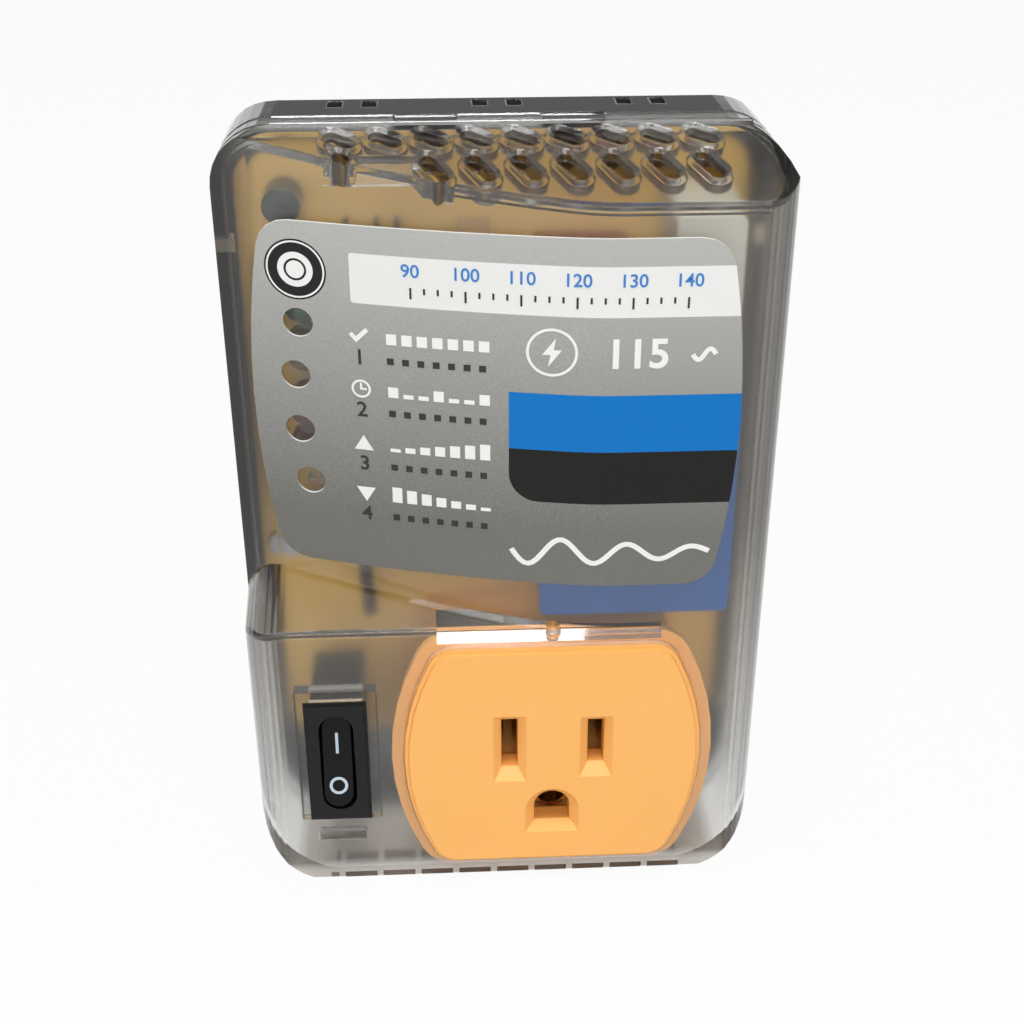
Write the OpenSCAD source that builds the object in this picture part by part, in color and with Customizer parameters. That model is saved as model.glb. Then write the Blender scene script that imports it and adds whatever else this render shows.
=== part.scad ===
// Plug-in appliance voltage protector: a smoky clear housing with a switched outlet and four lamps.
// Millimetres. The front faces -Y, up is +Z, and the plug blades point to +Y.
// The origin is the point midway between the two blades on the back face.

/* [Body] */
// Overall width of the housing
body_w = 75; // [66:1:84]
// Overall height of the housing
body_h = 113; // [100:1:126]
// Depth from the front face to the back face
body_d = 29; // [27:0.5:34]
// Radius of the two upper corners seen from the front
corner_r = 8; // [6:0.5:11]
// Radius of the two lower corners seen from the front
low_corner_r = 14; // [10:0.5:15]
// Wall of both covers
wall = 2; // [1.6:0.1:2.4]
// Depth where the front cover meets the back cover
split_d = 19; // [18:0.5:21]
// How far the round side edge takes from the front face
side_round_w = 5; // [3:0.5:7]
// How deep the round side edge runs
side_round_d = 8; // [5:0.5:10]

/* [Front form] */
// Depth where the sloping top ends
slope_d = 14.5; // [12:0.5:16]
// Drop of the sloping top from the top face to the front edge
slope_drop = 6.7; // [5:0.1:9]
// Height of the front edge of the shelf over the lower block
block_h = 45.5; // [44:0.5:50]
// Rise of the shelf for each millimetre of depth
shelf_rate = 0.4; // [0.2:0.05:0.6]
// Radius of the shelf's outer corner
shelf_corner_r = 6; // [3:0.5:8]
// Radius of the crowned label panel
panel_r = 220; // [150:10:300]
// Radius of the bend where the flat front turns into the label panel
bend_r = 40; // [20:5:60]
// Distance from the centre line to the start of the bend
bend_x = 15.3; // [12:0.1:20]
// Tilt of the panel where the bend ends
bend_angle = 10; // [6:0.5:14]

/* [Vents] */
// Number of vents in the upper row
top_vents = 9; // [5:1:9]
// Number of vents in the lower row
low_vents = 7; // [3:1:7]
// Spacing of the slanted vents
vent_pitch = 5.77; // [5.4:0.01:6.2]
// Number of slots along the bottom edge
bottom_vents = 9; // [5:1:9]
// Spacing of the bottom slots
bottom_vent_pitch = 5.8; // [5.4:0.05:6.4]

/* [Label] */
// Width of the label plate at its middle
label_w = 64.6; // [58:0.2:66]
// Height of the label plate
label_h = 49.6; // [44:0.2:52]
// Thickness of the label plate
label_t = 0.4; // [0.3:0.1:0.8]
// Diameter of each lamp window
window_d = 4; // [3.2:0.1:4.6]

/* [Outlet] */
// Width of the outlet face at its middle
outlet_w = 43.6; // [42:0.2:45]
// Height of the outlet face
outlet_h = 38.2; // [37:0.2:39.4]
// Width of each blade slot
slot_w = 2.4; // [2.2:0.1:2.8]

/* [Switch] */
// Width of the switch frame
switch_w = 9.1; // [8.6:0.1:10]
// Height of the switch frame
switch_h = 21.1; // [20.6:0.1:23]
// Depth of the switch body behind the front face
switch_d = 16; // [15:0.5:17]
// Swing of the rocker to each side of its middle
rocker_tilt = 11; // [8:1:12]
// Swing of the contact arm to each side of its middle
arm_tilt = 8; // [5:1:9]

/* [Plug] */
// Height of the blade line above the bottom of the housing
plug_h = 74; // [66:1:80]
// Length of each blade past the back face
blade_l = 16; // [15:0.5:18]
// Width of each blade
blade_w = 6.35; // [6:0.05:6.6]
// Thickness of each blade
blade_t = 1.5; // [1.4:0.05:1.6]
// Length of the ground pin past the back face
pin_l = 20; // [18:0.5:22]
// Diameter of the ground pin
pin_d = 4.76; // [4.6:0.02:4.9]

/* [Board] */
// Thickness of the circuit board
board_t = 1.6; // [1.2:0.1:2]
// Depth of the board's component side
board_d = 20; // [19:0.5:21]

/* [Hidden] */
half_w = body_w / 2;
overrun = 1;
round_steps = 8;
crown_steps = 10;
bend_steps = 3;
crown_end_angle = 24;
round_fn = 40;
small_fn = 24;
fit_gap = 0.15;
slide_gap = 0.3;
pivot_gap = 0.05;

// hole pattern of the standard plug and outlet
blade_pitch = 12.7;
ground_drop = 11.9;

// covers
bottom_chamfer = 1.5;
back_chamfer = 1.2;
root_two = sqrt(2);
slope_rate = slope_drop / slope_d;
slope_angle = atan(slope_rate);
shelf_angle = atan(shelf_rate);
lip_t = 1.1;
lip_depth = 2.2;
lip_inset = wall + fit_gap;
latch_w = 8;
latch_x = 9.6;
latch_t = 1.2;
latch_d = 3.4;
top_ledge_x = -6.8;
top_ledge_t = 0.5;
top_ledge_w = 1.1;
pip_x = 6.5;
pip_r = 1.45;
pip_d = 1;
tab_x = -16.6;
tab_w = 14;
tab_t = 1.2;
tab_h = 2.2;
tab_d = 9.4;
back_slot_w = 2;
back_slot_gap = 4.6;
back_slot_pitch = 19.3;
back_slot_inset = 4.2;
back_slot_front = split_d + back_slot_inset;
back_slot_d = 3.6;
clip_w = 1.8;
clip_low = 20;
clip_top_gap = 17;
clip_z = [clip_low, body_h - clip_top_gap];
clip_reach = 3.4;
clip_front = split_d - clip_reach;
clip_d = 2.2;

// slanted vents on the slope, measured from the crease up the slope
top_vent_x = 2.6;
top_vent_v = 13.2;
top_vent_w = 2;
top_vent_run = 2.5;
top_vent_angle = 28;
low_vent_x = 8.7;
low_vent_v = 7.5;
low_vent_w = 2.2;
low_vent_run = 3.3;
low_vent_angle = 59;
short_vent_pitches = 5;
short_vent_v = 9.8;
short_vent_w = 1.6;
short_vent_run = 1;
vent_bevel = 0.5;
vent_rim = 0.8;
vent_rim_depth = 1.4;
bottom_vent_x = 0.8;
bottom_vent_w = 4.8;
bottom_vent_low = 0.5;
bottom_vent_h = 1.8;
bottom_vent_d = 6;

bury = 0.6;

// label plate
label_x = -1.6;
label_z = 77.2;
label_side_r = 115;
label_corner_r = 4.5;
window_z = [88.2, 80.7, 72.7, 65];
window_x = [-27, -27.8, -27.7, -26.7];

// outlet
outlet_x = 6.7;
outlet_z = 23.1;
outlet_side_r = 37.7;
outlet_corner_r = 4;
outlet_proud = 0.8;
outlet_edge = 0.6;
flange_w = 1.9;
flange_t = 1.4;
face_end_d = wall + flange_t;
box_w = 35;
box_h = 34;
cap_t = 1.6;
box_end_d = board_d - cap_t;
slot_z = 25.5;
neutral_h = 8.5;
line_h = 7.6;
slot_bevel_w = 1.2;
slot_bevel_low = 2;
slot_bevel_top = 1.2;
slot_bevel_d = 1.2;
ground_r = 2.65;
ground_low = 2.65;
ground_bevel = 1.4;
chamber_w = 6.4;
chamber_h = 9.6;
ground_chamber_r = 3.9;
contact_t = 0.6;
contact_h = 6.6;
contact_gap = 1.9;
contact_throat = 1.3;
contact_mouth = 2.8;
contact_front = face_end_d + fit_gap;
contact_waist = 6.5;
contact_base_t = 0.8;
tail_w = 1.2;
tail_h = 4;
sleeve_r = 3.1;
sleeve_bore_r = 2.45;
sleeve_front = 4.2;
sleeve_slit = 1;

// switch, with the rocker's pivot as its own centre
switch_x = -24.8;
switch_z = 23.4;
frame_proud = 0.6;
frame_chamfer = 0.4;
switch_body_w = 7.5;
switch_body_h = 18.6;
switch_back_t = 1.5;
sleeve_wall = 2;
sleeve_depth = 4;
rocker_w = 4.2;
rocker_half_l = 7.3;
rocker_end_y = 4.1;
rocker_mid_y = 3.6;
rocker_back_y = 1.6;
pivot_d = 3;
pivot_r = 0.8;
pivot_l = 3.3;
chamber_half_w = 2.5;
chamber_half_l = 8.4;
chamber_step_y = -pivot_r - pivot_gap - rocker_back_y;
stem_w = 3;
stem_y = 5.2;
plunger_r = 0.9;
plunger_tip_y = 6.3;
plunger_root_y = 2.2;
arm_d = 9.6;
arm_t = 0.6;
arm_w = 3;
arm_half_l = 6.6;
arm_contact_z = 5.5;
arm_contact_r = 1.1;
arm_contact_t = 0.5;
arm_pivot_r = 0.5;
fulcrum_gap = 0.08;
terminal_t = 0.8;
terminal_pad_t = 0.8;
switch_slot_w = 7;
switch_slot_h = 1.5;
switch_slot_z = 9.5;

// circuit board and what stands on it
board_side_gap = 3.9;
board_top_gap = 4;
board_x = half_w - board_side_gap;
board_low = 15.7;
board_top = body_h - board_top_gap;
board_corner_r = 5;
board_back = board_d + board_t;
standoff_r = 2.2;
standoff_side_gap = 2.8;
standoff_low = 50;
standoff_top_gap = 27.4;
standoff_places = [[standoff_side_gap - board_x, standoff_low],
    [board_x - standoff_side_gap, board_top - standoff_top_gap]];
board_screw_head_r = 2;
board_screw_head_t = 1.2;
board_screw_r = 0.9;
board_screw_l = 5;
board_hole_r = 1.1;
relay_w = 26.6;
relay_side_gap = 2;
relay_x = board_x - relay_side_gap - relay_w / 2;
relay_low = block_h + slide_gap;
relay_h = 32;
relay_front = 3.8;
relay_base_t = 1.4;
relay_base_rim = 0.3;
relay_corner_r = 1;
lamp_x = -26.6;
lamp_z = [88.6, 81.6, 73.2, 67];
lamp_r = 2.5;
lamp_rim_r = 2.9;
lamp_rim_t = 1;
lamp_front = 13.5;
filter_w = 9;
filter_side_gap = 2.5;
filter_top_gap = 22.8;
filter_x = board_x - filter_side_gap - filter_w / 2;
filter_low = board_top - filter_top_gap;
filter_h = 16.5;
filter_front = 6.4;
dropper_x = 11.2;
dropper_top_gap = 25;
dropper_low = board_top - dropper_top_gap;
dropper_w = 12.9;
dropper_h = 13;
dropper_front = 9.5;
case_corner_r = 0.8;
storage_side_gap = 5.3;
storage_top_gap = 6.5;
storage_x = storage_side_gap - board_x;
storage_z = board_top - storage_top_gap;
storage_r = 2.5;
storage_lid_gap = 0.9;
smooth_x = -17;
smooth_top_gap = 21.9;
smooth_z = board_top - smooth_top_gap;
smooth_r = 4;
smooth_front = 10.5;
bead_r = 0.25;
varistor_x = -3.4;
varistor_top_gap = 13.4;
varistor_z = board_top - varistor_top_gap;
varistor_r = 5.5;
varistor_t = 4;
varistor_foot = 2;
chip_x = -12.5;
chip_z = 72;
chip_w = 6.4;
chip_h = 19;
chip_t = 3.3;
chip_lift = 0.5;
chip_legs = 7;
chip_leg_pitch = 2.54;
chip_leg_w = 0.5;
chip_leg_reach = 0.8;
resistor_side_gap = 11;
resistor_x = resistor_side_gap - board_x;
resistor_low = 52;
resistor_pitch = 3;
resistor_count = 4;
resistor_r = 1.2;
resistor_l = 6.4;
resistor_lead_r = 0.35;
resistor_lead_l = 2;
diode_x = [-20.3, -16.2, -13.5];
diode_top_gap = 13.4;
diode_z = board_top - diode_top_gap;
diode_r = 1.2;
diode_l = 4.4;
diode_lead_l = 1.8;
fuse_x = -5.5;
fuse_z = 56.5;
fuse_r = 2.5;
fuse_l = 15;
fuse_cap_l = 4;
fuse_clip_w = 3;
fuse_clip_t = 0.6;
wire_r = 1;
wire_z = [37.5, 49.4];
wire_x = [-20, 1.6];
wire_lift = 1;

// plug
plug_block_w = 25;
plug_block_top = 8;
plug_block_low = 17.5;
plug_block_r = 3;
plug_flange_w = 1.6;
plug_flange_t = 2;
plug_flange_front = body_d - wall - plug_flange_t;
shoulder_t = 1;
shoulder_w = 1.4;
tip_chamfer = 1.2;
blade_hole_r = 1.6;
blade_hole_inset = 4.2;
pin_r = pin_d / 2;
pin_root_r = 2.7;
pin_tip_r = 1.4;
pin_tip_l = 1.8;
pin_root_l = shoulder_t + body_d - plug_flange_front;

// Points of an arc, or of part of an ellipse
function arc_points(cx, cy, rx, ry, from, to, steps) =
    [for (i = [0:steps]) let (a = from + (to - from) * i / steps) [cx + rx * cos(a), cy + ry * sin(a)]];

// A rectangle with round corners
function round_box_points(x0, x1, y0, y1, r, steps) = concat(
    arc_points(x1 - r, y0 + r, r, r, -90, 0, steps),
    arc_points(x1 - r, y1 - r, r, r, 0, 90, steps),
    arc_points(x0 + r, y1 - r, r, r, 90, 180, steps),
    arc_points(x0 + r, y0 + r, r, r, 180, 270, steps));

// A plate with a flat top and bottom and bowed sides, as on outlets and on the label
function bow_corner_x(hw, hh, side_r, r) = hw - side_r + sqrt(pow(side_r - r, 2) - pow(hh - r, 2));
function bow_right_points(hw, hh, side_r, r) =
    let (cx = bow_corner_x(hw, hh, side_r, r), a = atan2(hh - r, cx + side_r - hw))
    concat(
        arc_points(cx, r - hh, r, r, -90, -a, round_steps / 2),
        arc_points(hw - side_r, 0, side_r, side_r, -a, a, round_steps),
        arc_points(cx, hh - r, r, r, a, 90, round_steps / 2));
function bow_points(hw, hh, side_r, r) = concat(
    bow_right_points(hw, hh, side_r, r),
    [for (p = bow_right_points(hw, hh, side_r, r)) [-p[0], -p[1]]]);

// Height of the sloping top at a depth, depth of the label panel at a place, and what stands close to it
function slope_z(d) = body_h - slope_drop + slope_rate * d;
panel_cx = bend_x + (panel_r - bend_r) * sin(bend_angle);
panel_cy = bend_r + (panel_r - bend_r) * cos(bend_angle);
function panel_depth(x) = panel_cy - sqrt(pow(panel_r, 2) - pow(panel_cx - x, 2));
storage_front = panel_depth(storage_x - storage_r) + wall + storage_lid_gap;

// Everything is drawn from the bottom and the front face, then moved to the plug's origin
module in_place() translate([0, -body_d, -plug_h]) children();

// An outline seen from the front, from one depth to another
module deep(from, to) translate([0, to, 0]) rotate([90, 0, 0]) linear_extrude(to - from) children();

// An outline seen from the side, over a width about the centre line
module across(width) translate([-width / 2, 0, 0]) rotate([90, 0, 90]) linear_extrude(width) children();

// A rod along the depth
module rod(x, z, r, from, to, fn = small_fn)
    translate([x, from, z]) rotate([-90, 0, 0]) cylinder(h = to - from, r = r, $fn = fn);

// A block from its middle, its lowest point and its two depths
module block(x, low, w, h, from, to) translate([x - w / 2, from, low]) cube([w, to - from, h]);

module round_block(x, low, w, h, r, from, to)
    deep(from, to) polygon(round_box_points(x - w / 2, x + w / 2, low, low + h, r, round_steps / 2));

// The housing seen from the front, with the lower corners rounder than the upper ones
module body_outline(inset) {
    side = half_w - inset;
    top_r = corner_r - inset;
    low_r = low_corner_r - inset;
    polygon(concat(
        arc_points(side - low_r, inset + low_r, low_r, low_r, -90, 0, round_steps),
        arc_points(side - top_r, body_h - inset - top_r, top_r, top_r, 0, 90, round_steps),
        arc_points(top_r - side, body_h - inset - top_r, top_r, top_r, 90, 180, round_steps),
        arc_points(low_r - side, inset + low_r, low_r, low_r, 180, 270, round_steps)));
}

// Plan of the block, with both side edges round
module front_plan(inset) polygon(concat(
    arc_points(half_w - side_round_w, side_round_d, side_round_w - inset, side_round_d - inset,
        0, -90, round_steps),
    arc_points(side_round_w - half_w, side_round_d, side_round_w - inset, side_round_d - inset,
        -90, -180, round_steps),
    [[inset - half_w, body_d + overrun], [half_w - inset, body_d + overrun]]));

// The front line of the label panel, from the flat front to past the left side
function panel_points(inset) = concat(
    arc_points(bend_x, bend_r, bend_r - inset, bend_r - inset, -90, -90 - bend_angle, bend_steps),
    [for (i = [1:crown_steps])
        let (a = -90 - bend_angle - (crown_end_angle - bend_angle) * i / crown_steps)
        [panel_cx + (panel_r - inset) * cos(a), panel_cy + (panel_r - inset) * sin(a)]]);

// Plan of all that lies behind the panel's line
module panel_plan(inset) polygon(concat(
    panel_points(inset),
    [[-body_w, body_d + overrun], [body_w, body_d + overrun], [body_w, inset]]));

// Side profile with the sloping top and the chamfered bottom edge
module side_profile(inset) polygon([
    [-overrun, bottom_chamfer + inset * root_two + overrun],
    [-overrun, slope_z(-overrun) - inset / cos(slope_angle)],
    [slope_d + inset * (1 / cos(slope_angle) - 1) / slope_rate, body_h - inset],
    [body_d + overrun, body_h - inset],
    [body_d + overrun, inset],
    [bottom_chamfer + inset * (root_two - 1), inset]]);

// All that lies below the shelf over the lower block
module below_shelf(inset) translate([0, 0, block_h]) rotate([shelf_angle, 0, 0])
    deep(-body_d, 2 * body_d) polygon(concat(
        [[inset - half_w, -body_h]],
        [[body_w, -body_h], [body_w, -inset]],
        arc_points(inset - half_w + shelf_corner_r - inset, -shelf_corner_r,
            shelf_corner_r - inset, shelf_corner_r - inset, 90, 180, round_steps)));

// What the label panel takes off the block
module panel_cut(inset) difference() {
    translate([0, 0, -overrun]) linear_extrude(body_h + 2 * overrun) polygon(concat(
        panel_points(inset),
        [[-body_w, panel_depth(-half_w)], [-body_w, -body_d], [bend_x, -body_d]]));
    below_shelf(inset);
}

// The whole front form, or the room inside it when inset by the wall
module front_form(inset) difference() {
    intersection() {
        deep(-overrun, body_d + 2 * overrun) body_outline(inset);
        translate([0, 0, -overrun]) linear_extrude(body_h + 2 * overrun) front_plan(inset);
        across(body_w + 2 * overrun) side_profile(inset);
    }
    panel_cut(inset);
}

// Places a cutter on the sloping top: x, distance up the slope, angle in the slope
module on_slope(x, v, angle) translate([x, 0, slope_z(0)]) rotate([slope_angle, 0, 0])
    translate([0, v, 0]) rotate([0, 0, angle]) children();

// A slot with round ends and a bevelled mouth
module slanted_vent(x, v, width, run, angle) on_slope(x, v, -angle) {
    reach = wall + vent_rim_depth + overrun;
    translate([-run / 2, -width / 2, -reach]) cube([run, width, reach + overrun]);
    translate([-run / 2, 0, 0]) rotate([90, 0, 90]) linear_extrude(run) polygon([
        [-width / 2, -vent_bevel], [width / 2, -vent_bevel],
        [width / 2 + vent_bevel + overrun, overrun], [-width / 2 - vent_bevel - overrun, overrun]]);
    for (s = [-1, 1]) translate([s * run / 2, 0, 0]) {
        translate([0, 0, -reach]) cylinder(h = reach + overrun, r = width / 2, $fn = small_fn);
        translate([0, 0, -vent_bevel]) cylinder(h = vent_bevel + overrun, r1 = width / 2,
            r2 = width / 2 + vent_bevel + overrun, $fn = small_fn);
    }
}

// The rim that carries a slanted vent on below the inside of the slope
module vent_collar(x, v, width, run, angle) on_slope(x, v, -angle)
    translate([0, 0, -wall - vent_rim_depth]) linear_extrude(vent_rim_depth + bury) {
        square([run, width + 2 * vent_rim], center = true);
        for (s = [-1, 1]) translate([s * run / 2, 0]) circle(r = width / 2 + vent_rim, $fn = small_fn);
    }

// Every vent's place and size on the slope: the upper row, the lower row and the short one at its left
top_vent_list = concat(
    [for (i = [0:top_vents - 1]) [top_vent_x + (i - (top_vents - 1) / 2) * vent_pitch, top_vent_v,
        top_vent_w, top_vent_run, top_vent_angle]],
    [for (i = [0:low_vents - 1]) [low_vent_x + (i - (low_vents - 1) / 2) * vent_pitch, low_vent_v,
        low_vent_w, low_vent_run, low_vent_angle]],
    [[low_vent_x - short_vent_pitches * vent_pitch, short_vent_v, short_vent_w, short_vent_run,
        top_vent_angle]]);

// Slots in the lower front edge that run back under the room inside
module bottom_openings() for (i = [0:bottom_vents - 1])
    block(bottom_vent_x + (i - (bottom_vents - 1) / 2) * bottom_vent_pitch, bottom_vent_low,
        bottom_vent_w, bottom_vent_h, -overrun, bottom_vent_d);

module outlet_outline(grow) translate([outlet_x, outlet_z])
    polygon(bow_points(outlet_w / 2 + grow, outlet_h / 2 + grow, outlet_side_r + grow,
        outlet_corner_r + grow));

module front_cover() color([0.35, 0.34, 0.32]) in_place() difference() {
    union() {
        difference() {
            intersection() {
                front_form(0);
                block(0, -overrun, body_w + 2 * overrun, body_h + 2 * overrun, -overrun, split_d);
            }
            front_form(wall);
        }
        // collar round the switch body
        difference() {
            block(switch_x, switch_z - switch_body_h / 2 - fit_gap - sleeve_wall,
                switch_body_w + 2 * (fit_gap + sleeve_wall),
                switch_body_h + 2 * (fit_gap + sleeve_wall), wall - bury, sleeve_depth);
            block(switch_x, switch_z - switch_body_h / 2 - fit_gap, switch_body_w + 2 * fit_gap,
                switch_body_h + 2 * fit_gap, -overrun, sleeve_depth + overrun);
        }
        // pip at the middle of the block's upper edge, and the tab inside the sloping top
        translate([pip_x, pip_d, block_h - pip_r / 2]) sphere(r = pip_r, $fn = small_fn);
        block(tab_x, slope_z(tab_d) - wall - tab_h, tab_w, tab_h + bury, tab_d, tab_d + tab_t);
        for (p = top_vent_list) vent_collar(p[0], p[1], p[2], p[3], p[4]);
        // small ledge along the crease under the vents
        intersection() {
            block((top_ledge_x + half_w - side_round_w) / 2, block_h, half_w - side_round_w - top_ledge_x,
                body_h, -overrun, slope_d);
            linear_extrude(body_h) panel_plan(-top_ledge_t);
            across(body_w) difference() {
                side_profile(0);
                side_profile(top_ledge_w);
            }
        }
    }
    block(switch_x, switch_z - switch_body_h / 2 - fit_gap, switch_body_w + 2 * fit_gap,
        switch_body_h + 2 * fit_gap, -overrun, wall + overrun);
    deep(-overrun, wall + overrun) outlet_outline(fit_gap);
    block(switch_x, switch_slot_z - switch_slot_h / 2, switch_slot_w, switch_slot_h, -overrun,
        wall + overrun);
    for (p = top_vent_list) slanted_vent(p[0], p[1], p[2], p[3], p[4]);
    bottom_openings();
    // notches for the back cover's two top latches
    for (x = [-latch_x, latch_x])
        block(x, body_h - latch_t, latch_w + 2 * fit_gap, latch_t + overrun,
            split_d - latch_d - fit_gap, split_d + overrun);
    // windows for the four side clips
    for (s = [-1, 1], z = clip_z)
        block(s * (half_w - wall / 2), z, 2 * wall, clip_w + 2 * fit_gap, clip_front - fit_gap,
            clip_front + clip_d + fit_gap);
}

module back_chamfer_plan() polygon([
    [-half_w, split_d], [half_w, split_d], [half_w, body_d - back_chamfer],
    [half_w - back_chamfer, body_d], [back_chamfer - half_w, body_d],
    [-half_w, body_d - back_chamfer]]);

module back_chamfer_side() polygon([
    [split_d, 0], [split_d, body_h], [body_d - back_chamfer, body_h],
    [body_d, body_h - back_chamfer], [body_d, back_chamfer], [body_d - back_chamfer, 0]]);

module plug_outline(grow) polygon(round_box_points(
    -plug_block_w / 2 - grow, plug_block_w / 2 + grow,
    plug_h - plug_block_low - grow, plug_h + plug_block_top + grow, plug_block_r + grow, round_steps / 2));

module back_cover() color([0.24, 0.24, 0.23]) in_place() difference() {
    union() {
        difference() {
            union() {
                intersection() {
                    deep(split_d, body_d) body_outline(0);
                    translate([0, 0, -overrun]) linear_extrude(body_h + 2 * overrun) back_chamfer_plan();
                    across(body_w + 2 * overrun) back_chamfer_side();
                }
                deep(split_d - lip_depth, split_d + overrun) body_outline(lip_inset);
            }
            deep(split_d - lip_depth - overrun, body_d - wall) body_outline(lip_inset + lip_t);
        }
        for (p = standoff_places) rod(p[0], p[1], standoff_r, board_back, body_d - wall + bury);
        for (x = [-latch_x, latch_x])
            block(x, body_h - latch_t + fit_gap, latch_w, latch_t - 2 * fit_gap, split_d - latch_d,
                split_d + bury);
        for (s = [-1, 1], z = clip_z)
            block(s * (half_w - lip_inset / 2 - fit_gap), z + fit_gap, lip_inset, clip_w, clip_front,
                clip_front + clip_d);
    }
    deep(plug_flange_front, body_d + overrun) plug_outline(fit_gap);
    for (p = standoff_places) rod(p[0], p[1], board_screw_r + pivot_gap, board_d, body_d - wall);
    // pairs of narrow slots in the top and bottom walls
    for (i = [-1:1], s = [-1, 1], z = [-overrun, body_h - wall - lip_t - overrun])
        block(i * back_slot_pitch + s * back_slot_gap / 2, z, back_slot_w,
            wall + lip_t + 2 * overrun, back_slot_front, back_slot_front + back_slot_d);
}

module label_plate() color([0.62, 0.63, 0.64]) in_place() difference() {
    intersection() {
        deep(-body_d, body_d) translate([label_x, label_z])
            polygon(bow_points(label_w / 2, label_h / 2, label_side_r, label_corner_r));
        linear_extrude(body_h) difference() {
            panel_plan(-label_t);
            panel_plan(0);
        }
    }
    for (i = [0:3]) rod(window_x[i], window_z[i], window_d / 2, -overrun, body_d, round_fn);
}

// A funnel into a slot, wide at the face
module slot_funnel(x, z, w, h) intersection() {
    translate([x, 0, z - h / 2 - slot_bevel_low]) linear_extrude(h + slot_bevel_low + slot_bevel_top)
        polygon([
            [-w / 2 - slot_bevel_w, -outlet_proud], [w / 2 + slot_bevel_w, -outlet_proud],
            [w / 2, slot_bevel_d - outlet_proud], [-w / 2, slot_bevel_d - outlet_proud]]);
    translate([x, 0, 0]) across(w + 2 * slot_bevel_w) polygon([
        [-outlet_proud, z - h / 2 - slot_bevel_low], [-outlet_proud, z + h / 2 + slot_bevel_top],
        [slot_bevel_d - outlet_proud, z + h / 2], [slot_bevel_d - outlet_proud, z - h / 2]]);
}

module ground_outline(grow) {
    circle(r = ground_r + grow, $fn = small_fn);
    translate([-ground_r - grow, -ground_low - grow]) square([2 * (ground_r + grow), ground_low + grow]);
}

module outlet_body() color([0.96, 0.6, 0.2]) in_place() difference() {
    union() {
        deep(-outlet_proud, -outlet_proud + outlet_edge) outlet_outline(-outlet_edge);
        deep(-outlet_proud + outlet_edge, wall + bury) outlet_outline(0);
        intersection() {
            deep(wall, face_end_d) outlet_outline(flange_w);
            front_form(wall + fit_gap);
        }
    }
    for (s = [-1, 1]) {
        h = s < 0 ? neutral_h : line_h;
        x = outlet_x + s * blade_pitch / 2;
        slot_funnel(x, slot_z, slot_w, h);
        block(x, slot_z - h / 2, slot_w, h, -outlet_proud - overrun, face_end_d + overrun);
    }
    translate([outlet_x, -outlet_proud - overrun, slot_z - ground_drop]) {
        translate([0, face_end_d + outlet_proud + 2 * overrun, 0]) rotate([90, 0, 0])
            linear_extrude(face_end_d + outlet_proud + 2 * overrun) ground_outline(0);
        translate([0, overrun, 0]) hull() {
            rotate([90, 0, 0]) linear_extrude(pivot_gap) ground_outline(ground_bevel);
            translate([0, ground_bevel, 0]) rotate([90, 0, 0]) linear_extrude(pivot_gap) ground_outline(0);
        }
    }
}

// The box behind the face: it holds the contacts in their chambers and stands on the board
module outlet_back() color([0.96, 0.6, 0.2]) in_place() difference() {
    block(outlet_x, outlet_z - box_h / 2, box_w, box_h, face_end_d, board_d);
    for (s = [-1, 1]) {
        x = outlet_x + s * blade_pitch / 2;
        block(x, slot_z - chamber_h / 2, chamber_w, chamber_h, face_end_d - overrun, box_end_d);
        block(x, slot_z - tail_h / 2, tail_w, tail_h, box_end_d - overrun, board_d + overrun);
    }
    rod(outlet_x, slot_z - ground_drop, ground_chamber_r, face_end_d - overrun, box_end_d, round_fn);
    block(outlet_x, slot_z - ground_drop - tail_h / 2, tail_w, tail_h, box_end_d - overrun,
        board_d + overrun);
}

// One leaf of a blade contact: base, throat and flared mouth
module contact_leaf() polygon([
    [contact_gap / 2, box_end_d], [contact_gap / 2 + contact_t, box_end_d],
    [contact_throat / 2 + contact_t, contact_waist], [contact_mouth / 2 + contact_t, contact_front],
    [contact_mouth / 2, contact_front], [contact_throat / 2, contact_waist]]);

module blade_contact(x) translate([x, 0, slot_z]) {
    translate([0, 0, -contact_h / 2]) linear_extrude(contact_h) union() {
        contact_leaf();
        mirror([1, 0]) contact_leaf();
        translate([-contact_gap / 2 - contact_t, box_end_d - contact_base_t])
            square([contact_gap + 2 * contact_t, contact_base_t]);
    }
    block(0, -tail_h / 2, tail_w, tail_h, box_end_d - contact_base_t, board_d);
}

module contact_line() color([0.8, 0.62, 0.3]) in_place() blade_contact(outlet_x + blade_pitch / 2);

module contact_neutral() color([0.8, 0.62, 0.3]) in_place() blade_contact(outlet_x - blade_pitch / 2);

module contact_ground() color([0.8, 0.62, 0.3]) in_place()
    translate([outlet_x, 0, slot_z - ground_drop]) {
        difference() {
            rod(0, 0, sleeve_r, sleeve_front, box_end_d);
            rod(0, 0, sleeve_bore_r, sleeve_front - overrun, box_end_d - contact_base_t);
            block(0, 0, sleeve_slit, 2 * sleeve_r, sleeve_front - overrun, box_end_d - contact_base_t);
        }
        block(0, -tail_h / 2, tail_w, tail_h, box_end_d - contact_base_t, board_d);
    }

// The switch is drawn about the rocker's pivot
module at_switch() in_place() translate([switch_x, pivot_d, switch_z]) children();

module pill(half_width, half_length) {
    square([2 * half_width, 2 * (half_length - half_width)], center = true);
    for (s = [-1, 1]) translate([0, s * (half_length - half_width)])
        circle(r = half_width, $fn = small_fn);
}

module frame_outline(inset) square([switch_w - 2 * inset, switch_h - 2 * inset], center = true);

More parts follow.
